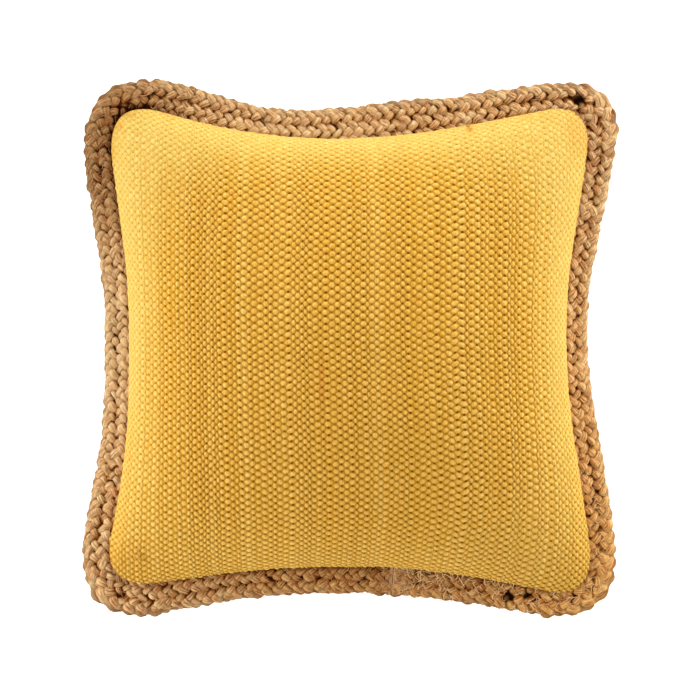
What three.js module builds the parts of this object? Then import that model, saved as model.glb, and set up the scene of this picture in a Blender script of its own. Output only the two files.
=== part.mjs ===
// A filled square scatter cushion lying on its back, with a flat plaited
// border sewn round its seam. Millimetres, +Z up, the face looks along +Z.
// The origin is on the resting surface, under the middle of the cushion.
import * as THREE from 'three';

// ---- driving dimensions ----
const SEAM_HEIGHT = 66;     // the seam above the surface, at the middle of a side
const CROWN = 88;           // the front panel's rise above the seam
const HANG = 82;            // how deep the back panel would hang if nothing carried it
const SOFT_LANDING = 9;     // over this height the back rounds off into its flat spot
const FULLNESS = 2.6;       // larger: flatter in the middle of a panel
const SHOULDER = 0.6;       // smaller: steeper beside the seam
const BORDER_THICK = 7;     // the plait, through both layers of strands
const BORDER_TUCK = 0.35;   // clearance between the plait and the seam
const JOIN_X = 38.5;        // where the plait's two ends meet, on the near side
const JOIN_GAP = 0.4;       // clearance between the two ends

// ---- outlines, seen from above ----
// A corner row is where the two sides would cross, and how far before that
// point the rounding starts. A side row is how far the side draws in, where
// along it that is deepest, and how wide the drawn-in stretch is (small = wide).
const SEAM = {
  corners: [
    { name: 'far left',   x: -231, y: 242,  cut: 68, droop: 11 },
    { name: 'far right',  x: 224.5, y: 231.5, cut: 41, droop: 9 },
    { name: 'near right', x: 227,  y: -239, cut: 48, droop: 12 },
    { name: 'near left',  x: -234, y: -226.5, cut: 53, droop: 10 },
  ],
  sides: [
    { name: 'far',   sag: 40, at: 0.46, narrow: 1.03 },
    { name: 'right', sag: 22.5, at: 0.48, narrow: 2.05 },
    { name: 'near',  sag: 29, at: 0.46, narrow: 1.04 },
    { name: 'left',  sag: 25.5, at: 0.46, narrow: 1.11 },
  ],
};
const BORDER = {
  corners: [
    { name: 'far left',   x: -252.5, y: 266,  cut: 90 },
    { name: 'far right',  x: 253,  y: 246.5, cut: 53 },
    { name: 'near right', x: 250,  y: -257.5, cut: 71 },
    { name: 'near left',  x: -258, y: -263.5, cut: 90 },
  ],
  sides: [
    { name: 'far',   sag: 34.5, at: 0.42, narrow: 2.5 },
    { name: 'right', sag: 29.5, at: 0.46, narrow: 2.6 },
    { name: 'near',  sag: 33, at: 0.53, narrow: 1.2 },
    { name: 'left',  sag: 27.5, at: 0.47, narrow: 2.05 },
  ],
};

// ---- fineness of the facets ----
const PER_SIDE = 30;        // facets along one side of the seam
const RINGS = 11;           // rings of facets from the middle to the seam
const BORDER_FACETS = 10;   // facets round one section of the plait

// A point of one side, drawn in between its two corners; t runs 0 to 1.
function sidePoint(outline, i, t) {
  const a = outline.corners[i];
  const b = outline.corners[(i + 1) % 4];
  const { sag, at, narrow } = outline.sides[i];
  const along = new THREE.Vector2(b.x - a.x, b.y - a.y);
  const inward = new THREE.Vector2(along.y, -along.x).normalize();
  const skewed = Math.pow(t, Math.log(0.5) / Math.log(at));
  const pull = sag * Math.pow(Math.sin(Math.PI * skewed), narrow);
  return new THREE.Vector2(a.x, a.y).addScaledVector(along, t).addScaledVector(inward, pull);
}

function sideLength(outline, i) {
  const a = outline.corners[i];
  const b = outline.corners[(i + 1) % 4];
  return Math.hypot(b.x - a.x, b.y - a.y);
}

// The rounding of corner i, from the end of the side before it to the start of
// the side after it.
function cornerCurve(outline, i) {
  const before = (i + 3) % 4;
  const c = outline.corners[i];
  return new THREE.QuadraticBezierCurve(
    sidePoint(outline, before, 1 - c.cut / sideLength(outline, before)),
    new THREE.Vector2(c.x, c.y),
    sidePoint(outline, i, c.cut / sideLength(outline, i)),
  );
}

// One side from the apex of its first corner to the apex of its last one.
function apexToApex(outline, i) {
  const length = sideLength(outline, i);
  const from = outline.corners[i].cut / length;
  const to = 1 - outline.corners[(i + 1) % 4].cut / length;
  const first = cornerCurve(outline, i);
  const last = cornerCurve(outline, (i + 1) % 4);
  const points = [];
  for (let k = 8; k < 16; k++) points.push(first.getPoint(k / 16));
  for (let k = 0; k <= 40; k++) points.push(sidePoint(outline, i, from + ((to - from) * k) / 40));
  for (let k = 1; k <= 8; k++) points.push(last.getPoint(k / 16));
  return new THREE.Path(points);
}

// The whole outline as evenly spaced points, each with its place (u, v) on the
// border of the square that the panel was cut from, -1 to 1 each way.
function outlinePoints(outline, perSide) {
  const rows = [];
  for (let i = 0; i < 4; i++) {
    const spaced = apexToApex(outline, i).getSpacedPoints(perSide);
    for (let k = 0; k < perSide; k++) {
      const t = (2 * k) / perSide - 1;
      const [u, v] = [[t, 1], [1, -t], [-t, -1], [-1, t]][i];
      rows.push({ x: spaced[k].x, y: spaced[k].y, u, v });
    }
  }
  return rows;
}

// ---- heights ----
const rise = (t) => Math.pow(Math.max(0, 1 - Math.pow(Math.abs(t), FULLNESS)), SHOULDER);

// The seam's height: its corners hang a little lower than its sides.
function seamHeight(u, v) {
  const [fl, fr, nr, nl] = SEAM.corners.map((c) => c.droop);
  const [a, b] = [(u + 1) / 2, (v + 1) / 2];
  const droop = (1 - a) * b * fl + a * b * fr + a * (1 - b) * nr + (1 - a) * (1 - b) * nl;
  return SEAM_HEIGHT - droop * Math.pow(Math.abs(u * v), 3);
}

// The back panel hangs from the seam until the surface carries it.
function landed(height) {
  if (height >= SOFT_LANDING) return height;
  if (height <= -SOFT_LANDING) return 0;
  return ((height + SOFT_LANDING) ** 2) / (4 * SOFT_LANDING);
}

const frontHeight = (u, v) => seamHeight(u, v) + CROWN * rise(u) * rise(v);
const backHeight = (u, v) => landed(seamHeight(u, v) - HANG * rise(u) * rise(v));

function solid(positions, triangles) {
  const geometry = new THREE.BufferGeometry();
  geometry.setAttribute('position', new THREE.Float32BufferAttribute(positions, 3));
  geometry.setIndex(triangles);
  geometry.computeVertexNormals();
  return geometry;
}

// ---- the filled cover: two crowned panels that meet along the seam ----
function cushionGeometry() {
  const seam = outlinePoints(SEAM, PER_SIDE);
  const n = seam.length;
  const positions = [];
  const triangles = [];
  // the seam itself is ring 0; each panel goes on from there to its middle
  for (const p of seam) positions.push(p.x, p.y, seamHeight(p.u, p.v));
  const panel = (height, facesUp) => {
    let outer = 0;
    for (let k = 1; k < RINGS; k++) {
      const r = Math.cos((Math.PI / 2) * (k / RINGS));
      const start = positions.length / 3;
      for (const p of seam) positions.push(p.x * r, p.y * r, height(p.u * r, p.v * r));
      for (let j = 0; j < n; j++) {
        const [a, b, c, d] = [outer + j, outer + ((j + 1) % n), start + j, start + ((j + 1) % n)];
        // the outline runs clockwise, seen from above
        if (facesUp) triangles.push(a, c, b, b, c, d);
        else triangles.push(a, b, c, b, d, c);
      }
      outer = start;
    }
    const middle = positions.length / 3;
    positions.push(0, 0, height(0, 0));
    for (let j = 0; j < n; j++) {
      const [a, b] = [outer + j, outer + ((j + 1) % n)];
      if (facesUp) triangles.push(a, middle, b);
      else triangles.push(a, b, middle);
    }
  };
  panel(frontHeight, true);
  panel(backHeight, false);
  return solid(positions, triangles);
}

// ---- the plaited border: one flat band round the seam, its ends butted ----
// How far from p, along the direction d, the closed line of points is crossed.
function reach(p, d, line) {
  let best = Infinity;
  for (let i = 0; i < line.length; i++) {
    const a = line[i];
    const b = line[(i + 1) % line.length];
    const ex = b.x - a.x;
    const ey = b.y - a.y;
    const cross = d.x * ey - d.y * ex;
    if (Math.abs(cross) < 1e-9) continue;
    const t = ((a.x - p.x) * ey - (a.y - p.y) * ex) / cross;
    const s = ((a.x - p.x) * d.y - (a.y - p.y) * d.x) / cross;
    if (t > 0 && s >= 0 && s <= 1 && t < best) best = t;
  }
  return best;
}

// The seam's points in order round the cover, cut at the join on the near side,
// so that the first and the last row are the plait's two ends.
function seamFromJoin(seam) {
  const n = seam.length;
  const i = seam.findIndex((p, k) => p.y < 0 && p.x > JOIN_X && seam[(k + 1) % n].x <= JOIN_X);
  const [p, q] = [seam[i], seam[(i + 1) % n]];
  const edge = new THREE.Vector2(q.x - p.x, q.y - p.y);
  const end = (shift) => {
    const f = (p.x - JOIN_X) / (p.x - q.x) + shift / edge.length();
    const mix = (key) => p[key] + (q[key] - p[key]) * f;
    return { x: mix('x'), y: mix('y'), u: mix('u'), v: mix('v') };
  };
  const rows = [end(JOIN_GAP / 2)];
  for (let k = 1; k <= n; k++) rows.push(seam[(i + k) % n]);
  rows.push(end(-JOIN_GAP / 2));
  return rows;
}

function borderGeometry() {
  const outer = outlinePoints(BORDER, 100);
  const rows = seamFromJoin(outlinePoints(SEAM, PER_SIDE));
  const direction = (k) => new THREE.Vector2(rows[k + 1].x - rows[k].x, rows[k + 1].y - rows[k].y).normalize();
  const positions = [];
  const triangles = [];
  const m = BORDER_FACETS;
  const widest = Math.pow(Math.cos(Math.PI / m), 0.75);
  for (let k = 0; k < rows.length; k++) {
    const before = direction(Math.max(0, k - 1));
    const after = direction(Math.min(rows.length - 2, k));
    const along = before.clone().add(after).normalize();
    const outward = new THREE.Vector2(-along.y, along.x);
    const tuck = BORDER_TUCK / Math.sqrt((1 + before.dot(after)) / 2);
    const p = rows[k];
    const width = reach(p, outward, outer) - tuck;
    const height = seamHeight(p.u, p.v);
    for (let j = 0; j < m; j++) {
      // a flat section with rounded edges
      const a = (2 * Math.PI * (j + 0.5)) / m;
      const across = Math.sign(Math.cos(a)) * Math.pow(Math.abs(Math.cos(a)), 0.75);
      const up = Math.sign(Math.sin(a)) * Math.pow(Math.abs(Math.sin(a)), 0.55);
      const w = tuck + (width * (1 + across / widest)) / 2;
      positions.push(p.x + outward.x * w, p.y + outward.y * w, height + (BORDER_THICK / 2) * up);
    }
  }
  const last = (rows.length - 1) * m;
  for (let k = 0; k < last; k += m) {
    for (let j = 0; j < m; j++) {
      const [a, b] = [k + j, k + ((j + 1) % m)];
      triangles.push(a, b, a + m, b, b + m, a + m);
    }
  }
  for (let j = 1; j < m - 1; j++) {
    triangles.push(0, j + 1, j);
    triangles.push(last, last + j, last + j + 1);
  }
  return solid(positions, triangles);
}

// ---- the object ----
const cotton = new THREE.MeshStandardMaterial({ color: 0xdba53c, roughness: 0.92, metalness: 0 });
const jute = new THREE.MeshStandardMaterial({ color: 0xbb8d58, roughness: 0.85, metalness: 0 });

const cushion = new THREE.Mesh(cushionGeometry(), cotton);
cushion.name = 'cushion';
const braid = new THREE.Mesh(borderGeometry(), jute);
braid.name = 'braid';

const group = new THREE.Group();
group.add(cushion, braid);

// stand the middle of the whole outline on the origin
const box = new THREE.Box3().setFromObject(group);
const middle = box.getCenter(new THREE.Vector3());
for (const mesh of [cushion, braid]) mesh.position.set(-middle.x, -middle.y, -box.min.z);

export default group;
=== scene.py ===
"""A square cushion in chunky golden-yellow cotton with a flat plaited jute border, lying on its back."""
import math

import bpy
import numpy as np
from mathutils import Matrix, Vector


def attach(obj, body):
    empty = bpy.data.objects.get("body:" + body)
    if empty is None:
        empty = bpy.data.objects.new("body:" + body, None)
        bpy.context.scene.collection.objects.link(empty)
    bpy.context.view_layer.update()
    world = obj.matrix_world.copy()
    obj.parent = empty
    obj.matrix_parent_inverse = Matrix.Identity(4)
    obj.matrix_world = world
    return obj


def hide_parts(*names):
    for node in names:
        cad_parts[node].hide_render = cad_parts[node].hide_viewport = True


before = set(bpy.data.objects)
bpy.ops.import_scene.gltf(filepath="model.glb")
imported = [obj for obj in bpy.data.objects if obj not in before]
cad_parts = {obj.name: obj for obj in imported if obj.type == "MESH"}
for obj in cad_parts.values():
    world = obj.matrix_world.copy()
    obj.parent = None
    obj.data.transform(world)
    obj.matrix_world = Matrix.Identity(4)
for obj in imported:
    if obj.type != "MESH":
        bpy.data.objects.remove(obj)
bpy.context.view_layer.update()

MM = 0.001
rng = np.random.default_rng(20251)

# ---------------------------------------------------------------------------
# Sizes, in millimetres, in the frame of the CAD before it was centred
# ---------------------------------------------------------------------------
SEAM_HEIGHT = 66.0
CROWN = 88.0
HANG = 82.0
SOFT_LANDING = 9.0
# corners: where two sides would cross, and where the rounding starts before it
SEAM_CORNERS = [(-231.0, 242.0, 68.0, 11.0), (224.5, 231.5, 41.0, 9.0), (227.0, -239.0, 48.0, 12.0), (-234.0, -226.5, 53.0, 10.0)]
SEAM_SIDES = [(40.0, 0.46, 1.03), (22.5, 0.48, 2.05), (29.0, 0.46, 1.04), (25.5, 0.46, 1.11)]
EDGE_CORNERS = [(-252.5, 266.0, 90.0), (253.0, 246.5, 53.0), (250.0, -257.5, 71.0), (-258.0, -263.5, 90.0)]
EDGE_SIDES = [(34.5, 0.42, 2.5), (29.5, 0.46, 2.6), (33.0, 0.53, 1.2), (27.5, 0.47, 2.05)]

JOIN_X = 38.5          # where the plait's ends meet, on the near side

PIXEL = 0.93           # mm of the seam's plane to a pixel of the camera's picture


def seen(px, py):
    """The place in the seam's plane, in mm, that shows at a pixel of the 700 px picture."""
    return np.array([(px - 349.6) * PIXEL, (347.9 - py) * PIXEL])


COLUMNS = 107          # columns of beads across the cloth
ROWS = 69              # beads along one column
BEAD = 1.6             # how far a bead stands out of the gaps, mm


# ---------------------------------------------------------------------------
# Outlines
# ---------------------------------------------------------------------------
def side_points(corners, sides, i, t):
    a, b = np.array(corners[i][:2]), np.array(corners[(i + 1) % 4][:2])
    sag, at, narrow = sides[i]
    along = b - a
    inward = np.array([along[1], -along[0]]) / np.hypot(*along)
    t = np.asarray(t, float)
    pull = sag * np.sin(np.pi * np.clip(t, 0, 1) ** (math.log(0.5) / math.log(at))) ** narrow
    return a + t[..., None] * along + pull[..., None] * inward


def side_length(corners, i):
    a, b = corners[i], corners[(i + 1) % 4]
    return math.hypot(b[0] - a[0], b[1] - a[1])


def outline(corners, sides, per_side=400, per_corner=80):
    """The closed outline, clockwise from above: each corner's rounding, then the side after it."""
    out = []
    for i in range(4):
        before = (i + 3) % 4
        c = corners[i]
        p0 = side_points(corners, sides, before, 1 - c[2] / side_length(corners, before))
        p2 = side_points(corners, sides, i, c[2] / side_length(corners, i))
        k = np.linspace(0, 1, per_corner, endpoint=False)[:, None]
        out.append((1 - k) ** 2 * p0 + 2 * k * (1 - k) * np.array(c[:2]) + k**2 * p2)
        t = np.linspace(c[2] / side_length(corners, i), 1 - corners[(i + 1) % 4][2] / side_length(corners, i), per_side, endpoint=False)
        out.append(side_points(corners, sides, i, t))
    return np.vstack(out)


def closed_lengths(p):
    d = np.hypot(*(np.roll(p, -1, 0) - p).T)
    return np.concatenate([[0], np.cumsum(d)])


def resample_closed(p, n):
    s = closed_lengths(p)
    q = np.vstack([p, p[:1]])
    at = np.linspace(0, s[-1], n, endpoint=False)
    return np.column_stack([np.interp(at, s, q[:, k]) for k in range(p.shape[1])])


# how far each outline really wanders from that, outwards in mm, by direction in degrees from the middle
EDGE_NUDGE = [(-180, 0.8), (-174, 0.7), (-168, -0.2), (-156, -1.2), (-144, -0.2), (-138, -1.2), (-132, -1.1), (-126, 0.2), (-120, 0.5), (-108, 0.1), (-96, 1.2), (-84, 0.5), (-78, 0.4), (-72, -0.2), (-66, -0.3), (-60, -0), (-54, 0), (-42, -0.8), (-30, -0.3), (-24, 0.6), (-18, 0.9), (-12, 0.4), (18, -0.2), (30, -0.8), (36, -0.8), (42, -1.4), (48, -0.8), (54, -1.4), (60, -3.9), (66, -4.5), (72, -2.1), (78, -0.3), (90, 0.1), (96, -1.1), (102, -2.6), (108, -3.1), (114, -2), (120, -0.6), (126, -1.5), (132, -3), (138, -1.9), (144, -0.3), (150, -0.9), (162, -0.9), (168, -1.5), (174, -0.7), (180, 0.8)]
SEAM_NUDGE = [(-180, -2.3), (-170, -2.6), (-160, -3.2), (-150, -2.8), (-140, -1.1), (-130, -0.1), (-120, -1.2), (-110, -1.5), (-100, -1.1), (-90, -1.1), (-80, -1.6), (-60, -0.6), (-50, -0.4), (-40, -0.8), (-30, -2), (-20, -2.4), (-10, -2), (0, -1.9), (20, -2.7), (40, -0.9), (50, -0.6), (90, -2.9), (120, -2.9), (130, -2.2), (140, -1.1), (150, -1.5), (160, -3), (170, -2.9), (180, -2.3)]


def nudged(p, table):
    angle = np.degrees(np.arctan2(p[:, 1], p[:, 0]))
    much = np.interp(angle, [r[0] for r in table], [r[1] for r in table])
    kernel = np.hanning(33) / np.hanning(33).sum()
    much = np.convolve(np.concatenate([much[-16:], much, much[:16]]), kernel, "valid")
    t = np.roll(p, -8, 0) - np.roll(p, 8, 0)
    t /= np.linalg.norm(t, axis=1, keepdims=True)
    return p + much[:, None] * np.column_stack([-t[:, 1], t[:, 0]])


seam_line = resample_closed(outline(SEAM_CORNERS, SEAM_SIDES), 1600)
edge_line = resample_closed(outline(EDGE_CORNERS, EDGE_SIDES), 1600)
SHIFT = -(edge_line.min(0) + edge_line.max(0)) / 2
seam_line = resample_closed(nudged(seam_line, SEAM_NUDGE), 1600)
edge_line = resample_closed(nudged(edge_line, EDGE_NUDGE), 1600)


def waves(x, y, seed, longest, shortest, count=14):
    """A smooth uneven field, about -1 to 1, with waves between the two lengths."""
    g = np.random.default_rng(seed)
    out = np.zeros(np.broadcast(x, y).shape)
    total = 0.0
    for _ in range(count):
        length = math.exp(g.uniform(math.log(shortest), math.log(longest)))
        turn, phase = g.uniform(0, 2 * math.pi, 2)
        weight = (length / longest) ** 0.6
        out += weight * np.cos(2 * math.pi * (x * math.cos(turn) + y * math.sin(turn)) / length + phase)
        total += weight**2
    return out / math.sqrt(total * 2)


# ---------------------------------------------------------------------------
# The filled cover's form
# ---------------------------------------------------------------------------
def inside(points, poly):
    """Which points lie inside the closed polygon."""
    x, y = points[:, 0], points[:, 1]
    hit = np.zeros(len(points), bool)
    a, b = poly, np.roll(poly, -1, 0)
    for (ax, ay), (bx, by) in zip(a, b):
        if ay == by:
            continue
        cross = (ay > y) != (by > y)
        hit ^= cross & (x < (bx - ax) * (y - ay) / (by - ay) + ax)
    return hit


def nearest_on(points, poly):
    """The nearest place on the closed polygon to each point, and how far it is."""
    a, b = poly, np.roll(poly, -1, 0)
    d = b - a
    dd = (d * d).sum(1)
    place = np.empty_like(points)
    far = np.empty(len(points))
    for lo in range(0, len(points), 4000):
        p = points[lo:lo + 4000]
        t = np.clip(((p[:, None] - a) * d).sum(2) / dd, 0, 1)
        q = a + t[..., None] * d
        r = ((p[:, None] - q) ** 2).sum(2)
        k = r.argmin(1)
        place[lo:lo + 4000] = q[np.arange(len(p)), k]
        far[lo:lo + 4000] = np.sqrt(r[np.arange(len(p)), k])
    return place, far


class Membrane:
    """A film stretched over the seam's outline and blown up a little: how fast the panel rises from each part of the seam."""
    step = 2.5

    def __init__(self, poly):
        self.low = poly.min(0) - 4 * self.step
        size = np.ceil((poly.max(0) + 4 * self.step - self.low) / self.step).astype(int) + 1
        xs = self.low[0] + self.step * np.arange(size[0])
        ys = self.low[1] + self.step * np.arange(size[1])
        gx, gy = np.meshgrid(xs, ys, indexing="ij")
        pts = np.column_stack([gx.ravel(), gy.ravel()])
        coarse = poly[::8]
        ins = inside(pts, coarse)
        # distance to the outline keeps the film's edge smooth between cells
        place, far = nearest_on(pts, coarse)
        ins = ins.reshape(gx.shape)
        w = np.zeros(gx.shape)
        odd = (np.add.outer(np.arange(size[0]), np.arange(size[1])) % 2).astype(bool)
        over = 2 / (1 + math.sin(math.pi / max(size)))
        for _ in range(420):
            for colour in (odd, ~odd):
                around = np.zeros_like(w)
                around[1:-1, 1:-1] = (w[:-2, 1:-1] + w[2:, 1:-1] + w[1:-1, :-2] + w[1:-1, 2:] + 1) / 4
                w = np.where(colour & ins, w + over * (around - w), w)
        far = far.reshape(gx.shape)
        # inside one cell of the outline the film falls evenly to nothing
        w = np.where(ins, w * np.clip(far / (0.7 * self.step), 0.15, 1), 0)
        self.w = w / w.max()

    def __call__(self, x, y):
        fx = np.clip((x - self.low[0]) / self.step, 0, self.w.shape[0] - 1.001)
        fy = np.clip((y - self.low[1]) / self.step, 0, self.w.shape[1] - 1.001)
        i, j = fx.astype(int), fy.astype(int)
        u, v = fx - i, fy - j
        w = self.w
        return (w[i, j] * (1 - u) * (1 - v) + w[i + 1, j] * u * (1 - v) + w[i, j + 1] * (1 - u) * v + w[i + 1, j + 1] * u * v)


film = Membrane(seam_line)


def rise(x, y):
    return np.clip(film(x, y), 0, 1) ** 0.6


def patch(a, b):
    """The seam's unrounded square drawn in between its four sides: a to the right, b away."""
    a, b = np.broadcast_arrays(np.asarray(a, float), np.asarray(b, float))
    far_ = side_points(SEAM_CORNERS, SEAM_SIDES, 0, a)
    right = side_points(SEAM_CORNERS, SEAM_SIDES, 1, 1 - b)
    near = side_points(SEAM_CORNERS, SEAM_SIDES, 2, 1 - a)
    left = side_points(SEAM_CORNERS, SEAM_SIDES, 3, b)
    fl, fr, nr, nl = (np.array(c[:2]) for c in SEAM_CORNERS)
    A, B = a[..., None], b[..., None]
    return ((1 - B) * near + B * far_ + (1 - A) * left + A * right
            - ((1 - A) * (1 - B) * nl + A * (1 - B) * nr + (1 - A) * B * fl + A * B * fr))


def seam_height(a, b):
    fl, fr, nr, nl = (c[3] for c in SEAM_CORNERS)
    droop = (1 - a) * b * fl + a * b * fr + a * (1 - b) * nr + (1 - a) * (1 - b) * nl
    return SEAM_HEIGHT - droop * np.abs((2 * a - 1) * (2 * b - 1)) ** 3


def landed(z):
    soft = (z + SOFT_LANDING) ** 2 / (4 * SOFT_LANDING)
    return np.where(z >= SOFT_LANDING, z, np.where(z <= -SOFT_LANDING, 0, soft))


def cloth_to_patch(crown, n=96, fine=480):
    """Where the cut cloth's own grid lies on the patch: evenly along the crowned surface, so it crowds together where the panel is steep."""
    g = np.linspace(0, 1, n + 1)
    f = np.linspace(0, 1, fine + 1)

    def lengths(swap):
        first, second = np.meshgrid(g, f, indexing="ij")      # rows of constant other coordinate
        a, b = (first, second) if swap else (second, first)
        xy = patch(a, b)
        z = crown * rise(xy[..., 0], xy[..., 1])
        d = np.sqrt((np.diff(xy, axis=1) ** 2).sum(2) + np.diff(z, axis=1) ** 2)
        s = np.concatenate([np.zeros((n + 1, 1)), np.cumsum(d, 1)], 1)
        s /= s[:, -1:]
        return np.array([np.interp(f, row, f) for row in s])   # share of cloth -> place on the patch

    along_a, along_b = lengths(False), lengths(True)            # [b, a share], [a, b share]

    def look(table, other, share):
        i = np.clip(other * n, 0, n - 1e-6)
        k = np.clip(share * fine, 0, fine - 1e-6)
        i0, k0 = i.astype(int), k.astype(int)
        u, v = i - i0, k - k0
        return (table[i0, k0] * (1 - u) * (1 - v) + table[i0 + 1, k0] * u * (1 - v)
                + table[i0, k0 + 1] * (1 - u) * v + table[i0 + 1, k0 + 1] * u * v)

    A, B = np.meshgrid(g, g, indexing="ij")
    a, b = A.copy(), B.copy()
    for _ in range(10):
        a, b = look(along_a, b, A), look(along_b, a, B)
    return a, b


N = 96


def starting_panels(fullness):
    """Both panels' grids, in millimetres, and where they are held at the seam."""
    grids = []
    for crown, front in ((CROWN, True), (HANG, False)):
        a, b = cloth_to_patch(crown, N)
        xy = patch(a, b)
        w = rise(xy[..., 0], xy[..., 1])
        z0 = seam_height(a, b)
        z = z0 + fullness * CROWN * w if front else z0 - fullness * HANG * w
        grids.append(np.dstack([xy, z]))
    return grids


def grid_quads(n, m, start=0, flip=False):
    i, j = np.meshgrid(np.arange(n), np.arange(m), indexing="ij")
    a = start + i * (m + 1) + j
    q = np.stack([a, a + m + 1, a + m + 2, a + 1], -1).reshape(-1, 4)
    return q[:, ::-1] if flip else q


def make_mesh(name, verts, quads, smooth=True, attributes=None):
    verts = np.asarray(verts, np.float32)
    quads = np.asarray(quads, np.int32)
    mesh = bpy.data.meshes.new(name)
    mesh.vertices.add(len(verts))
    mesh.vertices.foreach_set("co", verts.ravel())
    k = quads.shape[1]
    mesh.loops.add(quads.size)
    mesh.loops.foreach_set("vertex_index", quads.ravel())
    mesh.polygons.add(len(quads))
    mesh.polygons.foreach_set("loop_start", np.arange(0, quads.size, k, dtype=np.int32))
    mesh.polygons.foreach_set("loop_total", np.full(len(quads), k, np.int32))
    if smooth:
        mesh.polygons.foreach_set("use_smooth", np.ones(len(quads), bool))
    for key, values in (attributes or {}).items():
        attr = mesh.attributes.new(key, "FLOAT", "POINT")
        attr.data.foreach_set("value", np.asarray(values, np.float32))
    mesh.update()
    mesh.validate()
    obj = bpy.data.objects.new(name, mesh)
    bpy.context.scene.collection.objects.link(obj)
    return obj


def drop(verts, quads, attributes):
    """Leaves out the vertices that no face uses."""
    used = np.zeros(len(verts), bool)
    used[quads.ravel()] = True
    new = np.cumsum(used) - 1
    return verts[used], new[quads], {k: v[used] for k, v in attributes.items()}


def inflate(front, back):
    """Blows the two panels up as one sewn cover, held along the seam, and gives their new grids."""
    n = N + 1
    edge = np.zeros((n, n), bool)
    edge[[0, -1], :] = True
    edge[:, [0, -1]] = True
    index = np.arange(n * n).reshape(n, n)
    back_index = index.copy()
    back_index[~edge] = n * n + np.arange((~edge).sum())
    verts = np.vstack([front.reshape(-1, 3), back[~edge]])
    quads = grid_quads(N, N)
    quads = np.vstack([quads, back_index.ravel()[quads][:, ::-1]])
    xy = verts[:, :2]
    held = ~inside(xy, seam_line[::4])
    held[index[edge]] = True
    cover = make_mesh("cover_sim", (verts + [*SHIFT, 0]) * MM, quads)
    group = cover.vertex_groups.new(name="seam")
    group.add([int(i) for i in np.nonzero(held)[0]], 1.0, "REPLACE")
    mod = cover.modifiers.new("Cloth", "CLOTH")
    s = mod.settings
    s.quality = 5
    s.mass = 0.4
    s.tension_stiffness = s.compression_stiffness = 18
    s.shear_stiffness = 8
    s.bending_stiffness = 0.6
    s.use_pressure = True
    s.uniform_pressure_force = 4.0
    s.vertex_group_mass = "seam"
    s.effector_weights.gravity = 0
    mod.collision_settings.use_collision = False
    mod.point_cache.frame_start, mod.point_cache.frame_end = 1, 20
    scene = bpy.context.scene
    for f in range(1, 21):
        scene.frame_set(f)
    got = cover.evaluated_get(bpy.context.evaluated_depsgraph_get())
    co = np.empty(len(verts) * 3, np.float32)
    got.data.vertices.foreach_get("co", co)
    scene.frame_set(1)
    bpy.data.objects.remove(cover, do_unlink=True)
    moved = co.reshape(-1, 3) / MM - [*SHIFT, 0] - verts
    far = np.linalg.norm(moved, axis=1)
    print("cloth moved up to %.1f mm, mean %.1f" % (far.max(), far.mean()))
    moved *= np.minimum(1, 28.0 / np.maximum(far, 1e-9))[:, None]
    verts = verts + moved
    return verts[:n * n].reshape(n, n, 3), verts[back_index.ravel()].reshape(n, n, 3)


front, back = starting_panels(0.86)
front, back = inflate(front, back)
# the filling's height is what it was measured to be
for g, want in ((front, CROWN), (back, -HANG)):
    base = seam_height(np.linspace(0, 1, N + 1)[:, None], np.linspace(0, 1, N + 1)[None, :])
    top = (g[..., 2] - SEAM_HEIGHT)
    scale = want / (top.max() if want > 0 else top.min())
    g[..., 2] = base + (g[..., 2] - base) * (scale if scale > 0 else 1)
    print("panel scaled by %.3f to its height" % scale)
back[..., 2] = landed(back[..., 2])


# ---------------------------------------------------------------------------
# The woven panels
# ---------------------------------------------------------------------------
def interpolation(n, at):
    """Rows of weights that read a smooth curve through n+1 even points."""
    x = np.clip(np.asarray(at) * n, 0, n - 1e-9)
    i = x.astype(int)
    t = x - i
    w = np.zeros((len(x), n + 3))
    rows = np.arange(len(x))
    for k, c in enumerate(((-0.5 * t + t**2 - 0.5 * t**3), (1 - 2.5 * t**2 + 1.5 * t**3), (0.5 * t + 2 * t**2 - 1.5 * t**3), (-0.5 * t**2 + 0.5 * t**3))):
        w[rows, i + k] += c
    out = w[:, 1:-1].copy()
    # the points beyond both ends carry on straight
    out[:, 0] += 2 * w[:, 0]
    out[:, 1] -= w[:, 0]
    out[:, -1] += 2 * w[:, -1]
    out[:, -2] -= w[:, -1]
    return out


def shares(count, table, jitter, seed):
    """Where count uneven widths put their edges, 0 to 1: table rows are (place, relative width)."""
    g = np.random.default_rng(seed)
    at = (np.arange(count) + 0.5) / count
    width = np.interp(at, [r[0] for r in table], [r[1] for r in table])
    wander = g.normal(0, 1, count)
    width = width * np.clip(1 + jitter * wander, 0.62, 1.45)
    e = np.concatenate([[0], np.cumsum(width)])
    return e / e[-1], width / width.mean()


# how wide the columns are across the cloth, and how long the beads are along it, against the mean
ACROSS = [(0.0, 0.95), (0.12, 0.93), (0.2, 1.0), (0.3, 1.0), (0.4, 1.09), (0.49, 0.93), (0.58, 1.0), (0.67, 1.1), (0.76, 0.98), (0.86, 0.95), (1.0, 0.93)]
ALONG = [(0.0, 0.97), (0.1, 0.98), (0.25, 1.0), (0.38, 0.99), (0.52, 0.965), (0.6, 1.03), (0.72, 1.07), (0.85, 1.03), (1.0, 1.0)]

PER_BEAD_ACROSS = 3
PER_BEAD_ALONG = 4
BEAD_WIDE = 0.57       # a bead's half width, in column widths
BEAD_LONG = 0.385       # a bead's half length, in row lengths


def bead_height(p, q):
    """How high the cloth is at (p, q) of a bead, both -0.5 to 0.5: 0 in the gap between two beads of a column, 1 on top.
    The beads of the columns to both sides, half a row on, bulge a little into this one's gaps."""
    own = 1 - (p / BEAD_WIDE) ** 2 - (q / BEAD_LONG) ** 2
    beside = 1 - ((1 - np.abs(p)) / BEAD_WIDE) ** 2 - ((0.5 - np.abs(q)) / BEAD_LONG) ** 2
    return np.sqrt(np.clip(np.maximum(own, beside), 0, 1))


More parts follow.
